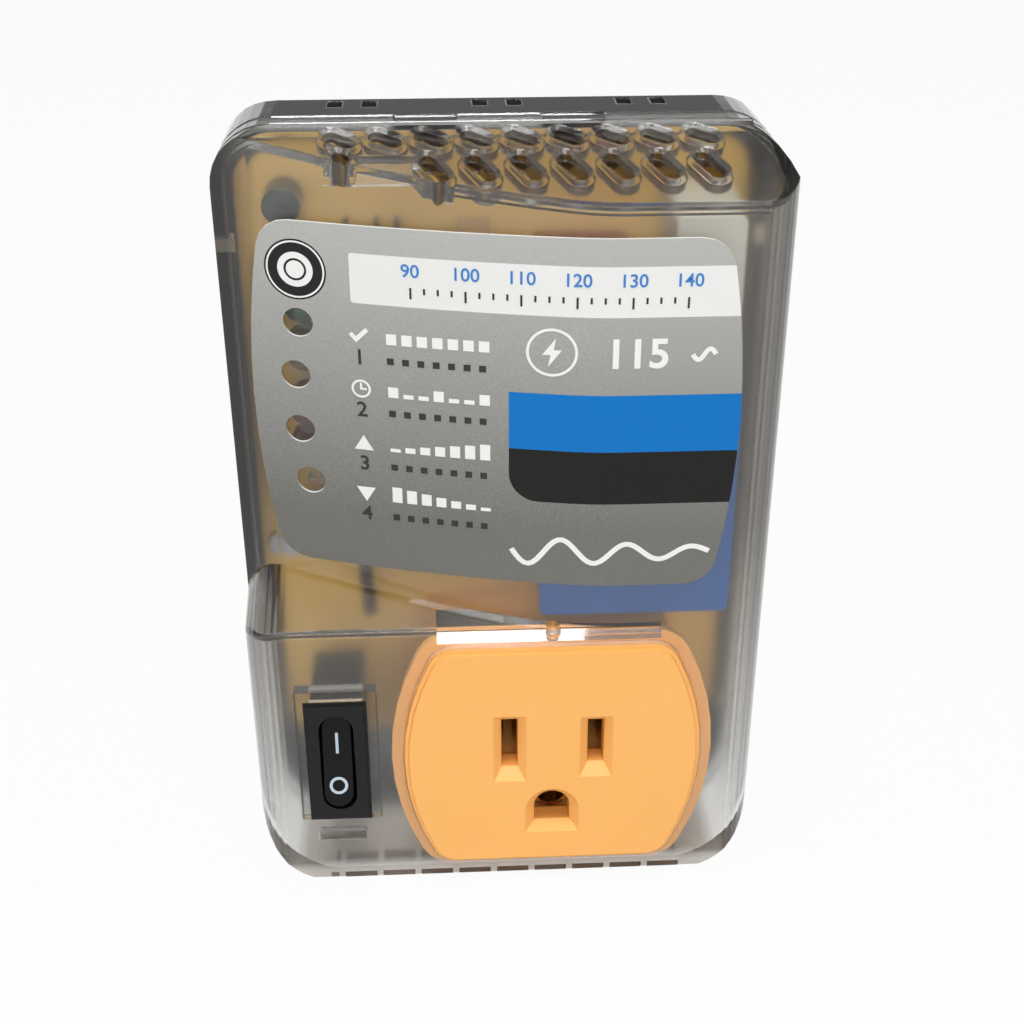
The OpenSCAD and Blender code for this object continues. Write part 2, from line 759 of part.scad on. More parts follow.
module switch_housing() color([0.07, 0.07, 0.08]) at_switch() difference() {
    union() {
        deep(-pivot_d - frame_proud, -pivot_d - frame_proud + frame_chamfer) frame_outline(frame_chamfer);
        deep(-pivot_d - frame_proud + frame_chamfer, -pivot_d) frame_outline(0);
        block(0, -switch_body_h / 2, switch_body_w, switch_body_h, -pivot_d - bury / 2, switch_d - pivot_d);
    }
    deep(-pivot_d - frame_proud - overrun, chamber_step_y) pill(chamber_half_w, chamber_half_l);
    block(0, -chamber_half_l, 2 * chamber_half_w, 2 * chamber_half_l, chamber_step_y,
        switch_d - switch_back_t - pivot_d);
    translate([-pivot_l - slide_gap, 0, 0]) rotate([0, 90, 0])
        cylinder(h = 2 * (pivot_l + slide_gap), r = pivot_r + pivot_gap, $fn = small_fn);
    for (z = [0, -arm_contact_z])
        block(0, z - terminal_t / 2, arm_w, terminal_t, switch_d - switch_back_t - pivot_d - overrun,
            switch_d - pivot_d + overrun);
}

// Side profile of the rocker, with round ends about the pivot
module rocker_profile() polygon(concat(
    [[-rocker_mid_y, 0], [-rocker_end_y, rocker_half_l]],
    [[0, rocker_half_l], [rocker_back_y, stem_w], [rocker_back_y, -stem_w], [0, -rocker_half_l]],
    [[-rocker_end_y, -rocker_half_l]]));

module switch_rocker() color([0.09, 0.09, 0.1]) at_switch() rotate([-rocker_tilt, 0, 0]) difference() {
    union() {
        intersection() {
            across(rocker_w) rocker_profile();
            deep(-body_d, body_d) pill(rocker_w / 2, rocker_half_l);
        }
        block(0, -stem_w / 2, stem_w, stem_w, 0, stem_y);
        translate([-pivot_l, 0, 0]) rotate([0, 90, 0]) cylinder(h = 2 * pivot_l, r = pivot_r, $fn = small_fn);
    }
    rod(0, 0, plunger_r, plunger_root_y, stem_y + overrun);
}

module switch_plunger() color([0.75, 0.75, 0.76]) at_switch() rotate([-rocker_tilt, 0, 0]) {
    rod(0, 0, plunger_r, plunger_root_y, plunger_tip_y - plunger_r / 2);
    rod(0, 0, plunger_r / 2, plunger_tip_y - plunger_r, plunger_tip_y);
}

// The contact arm rocks on the common terminal, about its own underside
module switch_arm() color([0.8, 0.62, 0.3]) at_switch()
    translate([0, arm_d + arm_t - pivot_d, 0]) rotate([arm_tilt, 0, 0]) {
        block(0, -arm_half_l, arm_w, 2 * arm_half_l, -arm_t, 0);
        rod(0, -arm_contact_z, arm_contact_r, -arm_t, arm_contact_t);
        across(arm_w) circle(r = arm_pivot_r, $fn = small_fn);
    }

module switch_common() color([0.8, 0.62, 0.3]) at_switch() difference() {
    block(0, -terminal_t / 2, arm_w, terminal_t, arm_d + arm_t + fulcrum_gap - pivot_d, board_d - pivot_d);
    translate([0, arm_d + arm_t - pivot_d, 0]) across(arm_w + 2 * overrun)
        circle(r = arm_pivot_r + pivot_gap, $fn = small_fn);
}

module switch_output() color([0.8, 0.62, 0.3]) at_switch() {
    pad_front = arm_d + arm_t + arm_contact_z * sin(arm_tilt) + arm_contact_t + slide_gap - pivot_d;
    block(0, -arm_contact_z - terminal_t / 2, arm_w, terminal_t, pad_front, board_d - pivot_d);
    block(0, -arm_contact_z - arm_contact_r, arm_w, 2 * arm_contact_r, pad_front,
        pad_front + terminal_pad_t);
}

module circuit_board() color([0.72, 0.62, 0.4]) in_place() difference() {
    round_block(0, board_low, 2 * board_x, board_top - board_low, board_corner_r, board_d, board_back);
    for (p = standoff_places) rod(p[0], p[1], board_hole_r, board_d - overrun, board_back + overrun);
}

module relay_case() color([0.16, 0.4, 0.68]) in_place()
    round_block(relay_x, relay_low, relay_w, relay_h, relay_corner_r, relay_front, board_d - relay_base_t);

module relay_base() color([0.1, 0.1, 0.11]) in_place()
    round_block(relay_x, relay_low - relay_base_rim, relay_w + 2 * relay_base_rim,
        relay_h + 2 * relay_base_rim, relay_corner_r, board_d - relay_base_t, board_d);

// A round lamp with its dome and rim
module lamp(i, shade) color(shade) in_place() translate([lamp_x, board_d, lamp_z[i]])
    rotate([90, 0, 0]) rotate_extrude($fn = small_fn) polygon(concat(
        [[0, 0], [lamp_rim_r, 0], [lamp_rim_r, lamp_rim_t], [lamp_r, lamp_rim_t]],
        arc_points(0, board_d - lamp_front - lamp_r, lamp_r, lamp_r, 0, 90, round_steps)));

module lamp_normal() lamp(0, [0.1, 0.55, 0.25]);
module lamp_delay() lamp(1, [0.85, 0.7, 0.15]);
module lamp_high() lamp(2, [0.75, 0.12, 0.1]);
module lamp_low() lamp(3, [0.75, 0.12, 0.1]);

module filter_capacitor() color([0.62, 0.62, 0.6]) in_place()
    round_block(filter_x, filter_low, filter_w, filter_h, case_corner_r, filter_front, board_d);

module dropper_capacitor() color([0.5, 0.14, 0.1]) in_place()
    round_block(dropper_x, dropper_low, dropper_w, dropper_h, case_corner_r, dropper_front, board_d);

// A can capacitor with the bead near its foot
module can_capacitor(x, z, r, front) translate([x, board_d, z]) rotate([90, 0, 0])
    rotate_extrude($fn = small_fn) polygon([
        [0, 0], [r, 0], [r, r / 2], [r - bead_r, r / 2 + bead_r], [r, r / 2 + 2 * bead_r],
        [r, board_d - front - bead_r], [r - bead_r, board_d - front], [0, board_d - front]]);

module storage_capacitor() color([0.09, 0.16, 0.12]) in_place()
    can_capacitor(storage_x, storage_z, storage_r, storage_front);

module smoothing_capacitor() color([0.09, 0.12, 0.2]) in_place()
    can_capacitor(smooth_x, smooth_z, smooth_r, smooth_front);

// A disc varistor standing on its two leads
module varistor() color([0.15, 0.3, 0.6]) in_place() {
    translate([varistor_x - varistor_t / 2, board_d - varistor_foot - varistor_r, varistor_z])
        rotate([0, 90, 0]) cylinder(h = varistor_t, r = varistor_r, $fn = round_fn);
    for (s = [-1, 1])
        rod(varistor_x, varistor_z + s * varistor_r / 2, resistor_lead_r,
            board_d - varistor_foot - varistor_r / 2, board_d);
}

module control_chip() color([0.1, 0.1, 0.11]) in_place() {
    block(chip_x, chip_z - chip_h / 2, chip_w, chip_h, board_d - chip_lift - chip_t, board_d - chip_lift);
    for (i = [0:chip_legs - 1], s = [-1, 1])
        block(chip_x + s * (chip_w + chip_leg_reach) / 2,
            chip_z + (i - (chip_legs - 1) / 2) * chip_leg_pitch - chip_leg_w / 2, chip_leg_reach,
            chip_leg_w, board_d - chip_lift - chip_t / 2, board_d);
}

// A part that lies along X with both leads bent into the board
module lying_part(x, z, r, l, lead_l) {
    lift = r + wire_lift / 2;
    translate([x - l / 2, board_d - lift, z]) rotate([0, 90, 0]) cylinder(h = l, r = r, $fn = small_fn);
    translate([x - l / 2 - lead_l, board_d - lift, z]) rotate([0, 90, 0])
        cylinder(h = l + 2 * lead_l, r = resistor_lead_r, $fn = small_fn);
    for (s = [-1, 1])
        rod(x + s * (l / 2 + lead_l - resistor_lead_r), z, resistor_lead_r, board_d - lift, board_d);
}

module resistors() color([0.76, 0.68, 0.5]) in_place()
    for (i = [0:resistor_count - 1])
        lying_part(resistor_x, resistor_low + i * resistor_pitch, resistor_r, resistor_l, resistor_lead_l);

// Diodes stand along Z in a short row
module diodes() color([0.08, 0.08, 0.09]) in_place() for (x = diode_x)
    translate([x, 0, diode_z]) rotate([0, 90, 0])
        lying_part(0, 0, diode_r, diode_l, diode_lead_l);

module fuse() color([0.82, 0.84, 0.84]) in_place()
    translate([fuse_x - fuse_l / 2, board_d - fuse_clip_t - fuse_r, fuse_z]) rotate([0, 90, 0])
        cylinder(h = fuse_l, r = fuse_r, $fn = small_fn);

module fuse_clips() color([0.78, 0.78, 0.78]) in_place() for (s = [-1, 1])
    translate([fuse_x + s * (fuse_l - fuse_cap_l) / 2, 0, fuse_z]) difference() {
        block(0, -fuse_r - fuse_clip_t, fuse_clip_w, 2 * (fuse_r + fuse_clip_t),
            board_d - fuse_clip_t - fuse_r, board_d);
        translate([-fuse_clip_w, board_d - fuse_clip_t - fuse_r, 0]) rotate([0, 90, 0])
            cylinder(h = 2 * fuse_clip_w, r = fuse_r, $fn = small_fn);
    }

// An insulated wire from the switch to the relay, bent into the board at both ends
module jumper_wire() color([0.12, 0.12, 0.13]) in_place() {
    bend_d = board_d - wire_lift - wire_r;
    translate([wire_x[0], bend_d, wire_z[0]])
        cylinder(h = wire_z[1] - wire_z[0], r = wire_r, $fn = small_fn);
    translate([wire_x[0], bend_d, wire_z[1]]) rotate([0, 90, 0])
        cylinder(h = wire_x[1] - wire_x[0], r = wire_r, $fn = small_fn);
    for (i = [0, 1]) {
        rod(wire_x[i], wire_z[i], wire_r, bend_d, board_d);
        translate([wire_x[i], bend_d, wire_z[i]]) sphere(r = wire_r, $fn = small_fn);
    }
    translate([wire_x[0], bend_d, wire_z[1]]) sphere(r = wire_r, $fn = small_fn);
}

// The block in the back cover that carries the blades, with a flange inside the cover
module plug_block() color([0.1, 0.1, 0.1]) in_place() difference() {
    union() {
        deep(plug_flange_front + overrun, body_d) plug_outline(0);
        deep(plug_flange_front, body_d - wall) plug_outline(plug_flange_w);
    }
    for (s = [-1, 1])
        block(s * blade_pitch / 2, plug_h - blade_w / 2, blade_t, blade_w, plug_flange_front - overrun,
            body_d + overrun);
    rod(0, plug_h - ground_drop, pin_root_r, plug_flange_front - overrun, body_d + overrun, round_fn);
}

// A flat blade with its shoulder and the tab to the board
module plug_blade(x) {
    tip = body_d + blade_l;
    translate([x, 0, plug_h]) difference() {
        union() {
            intersection() {
                across(blade_t) polygon([
                    [plug_flange_front, -blade_w / 2], [plug_flange_front, blade_w / 2],
                    [tip - tip_chamfer, blade_w / 2], [tip, blade_w / 2 - tip_chamfer],
                    [tip, tip_chamfer - blade_w / 2], [tip - tip_chamfer, -blade_w / 2]]);
                translate([0, 0, -blade_w]) linear_extrude(2 * blade_w) polygon([
                    [-blade_t / 2, 0], [blade_t / 2, 0], [blade_t / 2, tip - blade_t],
                    [blade_t / 5, tip], [-blade_t / 5, tip], [-blade_t / 2, tip - blade_t]]);
            }
            block(0, -blade_w / 2 - shoulder_w, blade_t, blade_w + 2 * shoulder_w,
                plug_flange_front - shoulder_t, plug_flange_front);
            block(0, -tail_h / 2, blade_t, tail_h, board_back, plug_flange_front);
        }
        translate([-blade_t, tip - blade_hole_inset, 0]) rotate([0, 90, 0])
            cylinder(h = 2 * blade_t, r = blade_hole_r, $fn = small_fn);
    }
}

module blade_line() color([0.78, 0.7, 0.45]) in_place() plug_blade(blade_pitch / 2);

module blade_neutral() color([0.78, 0.7, 0.45]) in_place() plug_blade(-blade_pitch / 2);

module ground_pin() color([0.78, 0.7, 0.45]) in_place() {
    translate([0, plug_flange_front - shoulder_t, plug_h - ground_drop]) rotate([-90, 0, 0])
        rotate_extrude($fn = round_fn) polygon([
            [0, 0], [pin_root_r + shoulder_w, 0], [pin_root_r + shoulder_w, shoulder_t],
            [pin_root_r, shoulder_t], [pin_root_r, pin_root_l], [pin_r, pin_root_l],
            [pin_r, pin_root_l + pin_l - pin_tip_l], [pin_tip_r, pin_root_l + pin_l],
            [0, pin_root_l + pin_l]]);
    block(0, plug_h - ground_drop - blade_t / 2, tail_h, blade_t, board_back, plug_flange_front);
}

module board_screw(i) color([0.7, 0.7, 0.72]) in_place()
    translate([standoff_places[i][0], 0, standoff_places[i][1]]) {
        rod(0, 0, board_screw_head_r, board_d - board_screw_head_t, board_d);
        rod(0, 0, board_screw_r, board_d, board_d + board_screw_l);
    }

module board_screw_1() board_screw(0);
module board_screw_2() board_screw(1);

front_cover();
back_cover();
label_plate();
outlet_body();
outlet_back();
contact_line();
contact_neutral();
contact_ground();
switch_housing();
switch_rocker();
switch_plunger();
switch_arm();
switch_common();
switch_output();
circuit_board();
relay_case();
relay_base();
lamp_normal();
lamp_delay();
lamp_high();
lamp_low();
filter_capacitor();
dropper_capacitor();
storage_capacitor();
smoothing_capacitor();
varistor();
control_chip();
resistors();
diodes();
fuse();
fuse_clips();
jumper_wire();
plug_block();
blade_line();
blade_neutral();
ground_pin();
board_screw_1();
board_screw_2();
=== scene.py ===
import math
import bpy
import numpy as np
from mathutils import Matrix, Vector


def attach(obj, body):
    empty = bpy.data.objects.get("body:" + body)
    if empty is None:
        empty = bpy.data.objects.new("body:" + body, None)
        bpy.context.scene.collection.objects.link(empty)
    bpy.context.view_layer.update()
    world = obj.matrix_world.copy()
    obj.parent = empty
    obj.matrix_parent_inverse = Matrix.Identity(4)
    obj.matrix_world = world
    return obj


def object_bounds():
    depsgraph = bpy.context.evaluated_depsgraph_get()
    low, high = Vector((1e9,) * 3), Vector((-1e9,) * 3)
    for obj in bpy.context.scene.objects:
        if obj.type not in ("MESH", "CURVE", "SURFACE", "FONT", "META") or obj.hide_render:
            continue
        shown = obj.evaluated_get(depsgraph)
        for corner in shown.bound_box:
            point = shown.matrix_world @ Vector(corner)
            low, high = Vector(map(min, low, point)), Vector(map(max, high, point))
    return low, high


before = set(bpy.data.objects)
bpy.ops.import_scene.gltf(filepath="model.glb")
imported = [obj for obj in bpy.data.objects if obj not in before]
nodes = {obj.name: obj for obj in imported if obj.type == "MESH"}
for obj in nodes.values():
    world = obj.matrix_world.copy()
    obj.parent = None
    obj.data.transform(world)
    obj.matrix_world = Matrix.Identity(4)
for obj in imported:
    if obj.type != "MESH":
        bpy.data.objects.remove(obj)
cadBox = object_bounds()
mm = 0.001
pureWhite = (1, 1, 1, 1)
print("frame loaded,", len(nodes), "nodes")

# The housing in millimetres: d runs back from the front face, h up from the bottom
body = {"depth": 29.0, "plugHeight": 74.0, "halfWidth": 37.5}

# The four lamp windows, across and high, and the polished disc that the cover has before each
windows = {"at": [(-27.0, 88.2), (-27.8, 80.7), (-27.7, 72.7), (-26.7, 65.0)], "disc": 2.2}


def place(x, d, h):
    # millimetres across, deep and high, to metres in the frame
    x, d, h = np.broadcast_arrays(np.asarray(x, float), d, h)
    return np.stack([x, d - body["depth"], h - body["plugHeight"]], -1) * mm


def metres(values, origin=0.0):
    return [(value - origin) * mm for value in values]


def linear(code):
    # an sRGB hex colour as linear light, with alpha
    parts = [int(code[i:i + 2], 16) / 255 for i in (1, 3, 5)]
    return [c / 12.92 if c <= 0.04045 else ((c + 0.055) / 1.055) ** 2.4 for c in parts] + [1.0]


def addNode(tree, kind, links=None, **settings):
    # one node with its settings, its socket values and what runs into it
    node = tree.nodes.new(kind)
    for name, value in settings.items():
        setattr(node, name, value)
    for socket, value in (links or {}).items():
        if isinstance(value, bpy.types.NodeSocket):
            tree.links.new(value, node.inputs[socket])
        else:
            node.inputs[socket].default_value = value
    return node


def newMaterial(name):
    material = bpy.data.materials.new(name)
    material.use_nodes = True
    material.node_tree.nodes.clear()
    return material, material.node_tree


def addObject(name, data):
    made = bpy.data.objects.new(name, data)
    bpy.context.scene.collection.objects.link(made)
    return made


def grain(tree, size, detail=2.0, stretch=(1, 1, 1)):
    # noise whose grain is size millimetres, on the object's own coordinates
    coord = addNode(tree, "ShaderNodeTexCoord")
    scaled = addNode(tree, "ShaderNodeMapping", {"Vector": coord.outputs["Object"], "Scale": stretch})
    noise = addNode(tree, "ShaderNodeTexNoise", {"Vector": scaled.outputs[0], "Scale": 1 / (size * mm),
                                                 "Detail": detail, "Roughness": 0.55})
    return noise.outputs["Fac"]


def shadeAt(tree, mask, ground, code):
    # a hex shade over a ground colour where the mask is 1
    mixed = addNode(tree, "ShaderNodeMix", {0: mask, 6: ground, 7: linear(code)}, data_type="RGBA")
    return mixed.outputs[2]


def spread(tree, noise, low, high):
    # noise stretched over a range: nearly all of it lies between 0.3 and 0.7
    ranged = addNode(tree, "ShaderNodeMapRange", {"Value": noise, "From Min": 0.3, "From Max": 0.7,
                                                  "To Min": low, "To Max": high})
    return ranged.outputs[0]


def broken(tree, edge):
    # the normal with every sharp edge broken by a small round, as a moulding tool leaves it
    return addNode(tree, "ShaderNodeBevel", {"Radius": edge * mm}, samples=4).outputs[0]


# How much of its height a grain shows, and how far the roughness drifts with it. A moulded grain is a
# few hundredths of a millimetre wide: it is drawn about ten times as coarse, so that it shows
relief = {"shown": 0.35, "drift": 0.15}


def finish(name, light, dark, rough, flowSize, grainSize, height, ior=1.5, metallic=0.0,
           stretch=(1, 1, 1), alpha=1.0, edge=0.0, shine=0.5):
    # two close shades in a broad flow, or one plain shade, a fine grain in the normal, and a
    # roughness that drifts with the grain; sizes are in millimetres
    material, tree = newMaterial(name)
    colour = linear(light)
    if dark:
        colour = shadeAt(tree, grain(tree, flowSize, 2.0, stretch), linear(dark), light)
    fine = grain(tree, grainSize, 1.0, stretch)
    bumpLinks = {"Height": fine, "Strength": relief["shown"], "Distance": height * mm}
    if edge > 0:
        bumpLinks["Normal"] = broken(tree, edge)
    bump = addNode(tree, "ShaderNodeBump", bumpLinks)
    low, high = rough * (1 - relief["drift"]), rough * (1 + relief["drift"])
    shader = addNode(tree, "ShaderNodeBsdfPrincipled", {
        "Base Color": colour, "Roughness": spread(tree, fine, low, high), "Normal": bump.outputs[0],
        "Metallic": metallic, "IOR": ior, "Alpha": alpha, "Specular IOR Level": shine})
    addNode(tree, "ShaderNodeOutputMaterial", {"Surface": shader.outputs[0]})
    return material


def objectPoint(tree):
    coord = addNode(tree, "ShaderNodeTexCoord")
    return addNode(tree, "ShaderNodeSeparateXYZ", {0: coord.outputs["Object"]}).outputs


def rampAlong(tree, value, low, high, start=0.0, end=1.0):
    # from start to end while a value goes from low to high, and level beyond
    return addNode(tree, "ShaderNodeMapRange", {"Value": value, "From Min": low, "From Max": high,
                                                "To Min": start, "To Max": end}).outputs[0]


def within(tree, value, low, high):
    # 1 while a value lies between two others: its distance from their middle is under half the gap
    off = addNode(tree, "ShaderNodeMath", {0: value, 1: (low + high) / 2}, operation="SUBTRACT")
    away = addNode(tree, "ShaderNodeMath", {0: off.outputs[0]}, operation="ABSOLUTE")
    return addNode(tree, "ShaderNodeMath", {0: away.outputs[0], 1: (high - low) / 2},
                   operation="LESS_THAN").outputs[0]


def product(tree, first, *others):
    # values multiplied; of masks, only what lies in all of them is left
    for other in others:
        first = addNode(tree, "ShaderNodeMath", {0: first, 1: other}, operation="MULTIPLY").outputs[0]
    return first


def highest(tree, masks):
    # the highest of some masks, which is what lies in any of them, or 0 where there are none
    most = 0.0
    for mask in masks:
        most = addNode(tree, "ShaderNodeMath", {0: mask, 1: most}, operation="MAXIMUM").outputs[0]
    return most


def withinBox(tree, box):
    # 1 inside a box given in millimetres across, deep and high, on the left as on the right
    point = objectPoint(tree)
    across = addNode(tree, "ShaderNodeMath", {0: point["X"]}, operation="ABSOLUTE").outputs[0]
    return product(tree, within(tree, across, *metres(box["across"])),
                   within(tree, point["Y"], *metres(box["deep"], body["depth"])),
                   within(tree, point["Z"], *metres(box["high"], body["plugHeight"])))


def flatDistance(tree, point, centre, half, radius):
    # distance from a rectangle with round corners, seen from the front: the part of the offset
    # from its core that is positive, as a length, less the corner radius
    offset = addNode(tree, "ShaderNodeVectorMath", {0: point, 1: centre}, operation="SUBTRACT")
    flat = addNode(tree, "ShaderNodeVectorMath", {0: offset.outputs[0], 1: (1, 0, 1)},
                   operation="MULTIPLY")
    folded = addNode(tree, "ShaderNodeVectorMath", {0: flat.outputs[0]}, operation="ABSOLUTE")
    beyond = addNode(tree, "ShaderNodeVectorMath", {0: folded.outputs[0], 1: half},
                     operation="SUBTRACT")
    kept = addNode(tree, "ShaderNodeVectorMath", {0: beyond.outputs[0], 1: (0, -1, 0)},
                   operation="MAXIMUM")
    length = addNode(tree, "ShaderNodeVectorMath", {0: kept.outputs[0]}, operation="LENGTH")
    away = addNode(tree, "ShaderNodeMath", {0: length.outputs["Value"], 1: radius},
                   operation="SUBTRACT")
    return away.outputs[0]


def printedArea(tree, point, left, right, low, high, radius):
    # 1 inside a rectangle with round corners, in millimetres
    centre = place((left + right) / 2, 0, (low + high) / 2)
    half = metres(((right - left) / 2 - radius, 0.0, (high - low) / 2 - radius))
    away = flatDistance(tree, point, tuple(centre), tuple(half), radius * mm)
    return addNode(tree, "ShaderNodeMath", {0: away, 1: 0.0}, operation="LESS_THAN").outputs[0]


def printedDisc(tree, point, x, h, radius):
    # a rectangle that its round corners fill
    return printedArea(tree, point, x - radius, x + radius, h - radius, h + radius, radius)


def ledgeHeights(tree, ledges):
    # moulded ledges as heights in metres: each is a ramp along one axis between two places, with a
    # sharp drop at its end, and lies between two places across where it has ends
    point = objectPoint(tree)
    total = 0.0
    for ledge in ledges:
        origin = {"Y": body["depth"], "Z": body["plugHeight"]}[ledge["axis"]]
        low, high = metres((ledge["from"], ledge["to"]), origin)
        along = point[ledge["axis"]]
        height = product(tree, rampAlong(tree, along, low, high, 0.0, ledge["rise"] * mm),
                         within(tree, along, low, high))
        if "across" in ledge:
            height = product(tree, height, within(tree, point["X"], *metres(ledge["across"])))
        total = addNode(tree, "ShaderNodeMath", {0: height, 1: total}, operation="ADD").outputs[0]
    return total


def slotWalls(tree, slots):
    # 1 on the walls of a row of slots: the place across is folded to one pitch
    point = objectPoint(tree)
    turn = addNode(tree, "ShaderNodeMath", {0: point["X"], 1: slots["x"] * mm}, operation="SUBTRACT")
    pitch = slots["pitch"] / 2 * mm
    fold = addNode(tree, "ShaderNodeMath", {0: turn.outputs[0], 1: pitch, 2: -pitch}, operation="WRAP")
    half = slots["wide"] / 2 * mm
    return product(tree, within(tree, fold.outputs[0], -half, half), withinBox(tree, slots))


def steepWalls(tree, steep):
    # 1 inside a box where the surface stands steeply to a given direction
    normal = addNode(tree, "ShaderNodeNewGeometry").outputs["True Normal"]
    along = addNode(tree, "ShaderNodeVectorMath", {0: normal, 1: steep["normal"]},
                    operation="DOT_PRODUCT").outputs["Value"]
    return product(tree, within(tree, along, -steep["most"], steep["most"]), withinBox(tree, steep))


# The two covers, in millimetres. gloss and frost are the roughness outside and inside, density is the
# smoke per metre, edge the broken edge; side is where the side walls grow darker with painted shade,
# from the outside, and sideRise the heights over which that comes in; low is the hazy bottom wall; the
# slots' and vents' colours are painted shade on their walls; most is how far a vent's wall may turn
# from square to the sloping top, whose normal is given
partingLine = {"axis": "Y", "from": 17.9, "to": 19.1, "rise": 1.25}
topLine = {"axis": "Y", "from": 14.0, "to": 15.2, "rise": 1.25}
outletLine = {"axis": "Z", "from": 43.3, "to": 45.3, "rise": -2.92, "across": (-9.9, 21.9)}
clips = {"across": (34.4, 38), "deep": (14.8, 18.0)}
covers = {
    "front_cover": {
        "name": "Moulded smoke polycarbonate", "gloss": 0.04, "frost": 0.25, "haze": 0.0,
        "smoke": "#B4B0A6", "density": 85, "edge": 0.35, "shine": 0.25,
        "ledges": [partingLine, topLine, outletLine],
        "side": (6.5, 1.5), "sideRise": (10.0, 60.0), "paintedSideShade": "#7C7871",
        "low": (4.2, 2.3), "lowTint": "#CCC8C0", "lowClear": 0.3,
        "slots": {"x": 0.8, "pitch": 5.8, "wide": 4.84, "across": (-1, 27), "deep": (-0.1, 6.1),
                  "high": (0.45, 2.35), "colour": "#7A7068"},
        "vents": {"normal": (0.0, -0.4195, 0.9078), "most": 0.35, "across": (-1, 29),
                  "deep": (2.5, 14.3), "high": (103.0, 112.7), "colour": "#8C8074"},
        "discs": windows["at"]},
    "back_cover": {
        "name": "Moulded dark smoke polycarbonate", "gloss": 0.06, "frost": 0.3, "haze": 0.03,
        "smoke": "#8A8888", "density": 1700, "edge": 0.35, "shine": 0.4,
        "ledges": [partingLine],
        "side": (4.5, 1.0), "sideRise": (10.0, 60.0), "paintedSideShade": "#D8D8D8",
        "low": (4.2, 2.3), "lowTint": "#D8D8D8", "lowClear": 0.95,
        # painted highlight: the snap clips are drawn cream and less clear, for the light that catches in
        # them
        "clips": {"colour": "#E6DCC4", "clear": 0.3,
                  "boxes": [{**clips, "high": (19.8, 22.4)}, {**clips, "high": (95.8, 98.4)}]}},
}
# What both covers share: how much polycarbonate bends light, and the slow waves that cooling leaves in
# its walls
polycarbonate = {"ior": 1.585, "waveSize": 7.0, "waveShown": 0.25, "waveHeight": 0.05}


def coverTint(tree, made, low):
    # clear in the middle, darker at the sides with painted shade, a given shade along the bottom, and
    # brown painted shade on the walls of the slots and vents
    point = objectPoint(tree)
    across = addNode(tree, "ShaderNodeMath", {0: point["X"]}, operation="ABSOLUTE")
    inward = [(body["halfWidth"] - x) * mm for x in made["side"]]
    # painted shade: the side walls are tinted darker towards the outside, coming in over the sideRise
    # heights
    side = product(tree, rampAlong(tree, across.outputs[0], *inward),
                   rampAlong(tree, point["Z"], *metres(made["sideRise"], body["plugHeight"])))
    tint = shadeAt(tree, side, pureWhite, made["paintedSideShade"])
    tint = shadeAt(tree, low, tint, made["lowTint"])
    # painted shade: the walls of the slots and vents are drawn brown and dark
    if "slots" in made:
        tint = shadeAt(tree, slotWalls(tree, made["slots"]), tint, made["slots"]["colour"])
        tint = shadeAt(tree, steepWalls(tree, made["vents"]), tint, made["vents"]["colour"])
    return tint


def smokyPolycarbonate(made):
    # clear polycarbonate with smoke in the mass: polished outside, spark-eroded inside, so what lies
    # behind it blurs, and a long way through it darkens. Light from lamps and from the pieces inside
    # passes straight through.
    material, tree = newMaterial(made["name"])
    geometry = addNode(tree, "ShaderNodeNewGeometry")
    coord = addNode(tree, "ShaderNodeTexCoord")
    polished = highest(tree, [printedDisc(tree, coord.outputs["Object"], x, h, windows["disc"])
                              for x, h in made.get("discs", [])])
    etched = addNode(tree, "ShaderNodeMath", {0: geometry.outputs["Backfacing"], 1: polished},
                     operation="SUBTRACT", use_clamp=True)
    rough = rampAlong(tree, etched.outputs[0], 0.0, 1.0, made["gloss"], made["frost"])
    moulded = addNode(tree, "ShaderNodeBump", {"Height": ledgeHeights(tree, made["ledges"]),
                                               "Strength": 1.0, "Distance": 1.0,
                                               "Normal": broken(tree, made["edge"])})
    cooled = addNode(tree, "ShaderNodeBump", {"Height": grain(tree, polycarbonate["waveSize"], 1.0),
                                              "Strength": polycarbonate["waveShown"],
                                              "Distance": polycarbonate["waveHeight"] * mm,
                                              "Normal": moulded.outputs[0]})
    low = rampAlong(tree, objectPoint(tree)["Z"], *metres(made["low"], body["plugHeight"]))
    tint = coverTint(tree, made, low)
    clearness = rampAlong(tree, low, 0.0, 1.0, 1.0 - made["haze"], made["lowClear"])
    # painted highlight: the snap clips are drawn cream and less clear, for the light that catches in them
    if "clips" in made:
        paintedClipLight = highest(tree, [withinBox(tree, box) for box in made["clips"]["boxes"]])
        tint = shadeAt(tree, paintedClipLight, tint, made["clips"]["colour"])
        clearness = rampAlong(tree, paintedClipLight, 0.0, 1.0, clearness, made["clips"]["clear"])
    glass = addNode(tree, "ShaderNodeBsdfPrincipled", {
        "Base Color": tint, "Roughness": rough, "IOR": polycarbonate["ior"],
        "Specular IOR Level": made["shine"], "Transmission Weight": clearness,
        "Normal": cooled.outputs[0]})
    clear = addNode(tree, "ShaderNodeBsdfTransparent", {"Color": pureWhite})
    path = addNode(tree, "ShaderNodeLightPath")
    soft = addNode(tree, "ShaderNodeMixShader", {0: path.outputs["Is Diffuse Ray"],
                                                 1: glass.outputs[0], 2: clear.outputs[0]})
    mixed = addNode(tree, "ShaderNodeMixShader", {0: path.outputs["Is Shadow Ray"],
                                                  1: soft.outputs[0], 2: clear.outputs[0]})
    mass = addNode(tree, "ShaderNodeVolumeAbsorption", {"Color": linear(made["smoke"]),
                                                        "Density": made["density"]})
    addNode(tree, "ShaderNodeOutputMaterial", {"Surface": mixed.outputs[0], "Volume": mass.outputs[0]})
    return material


print("materials")
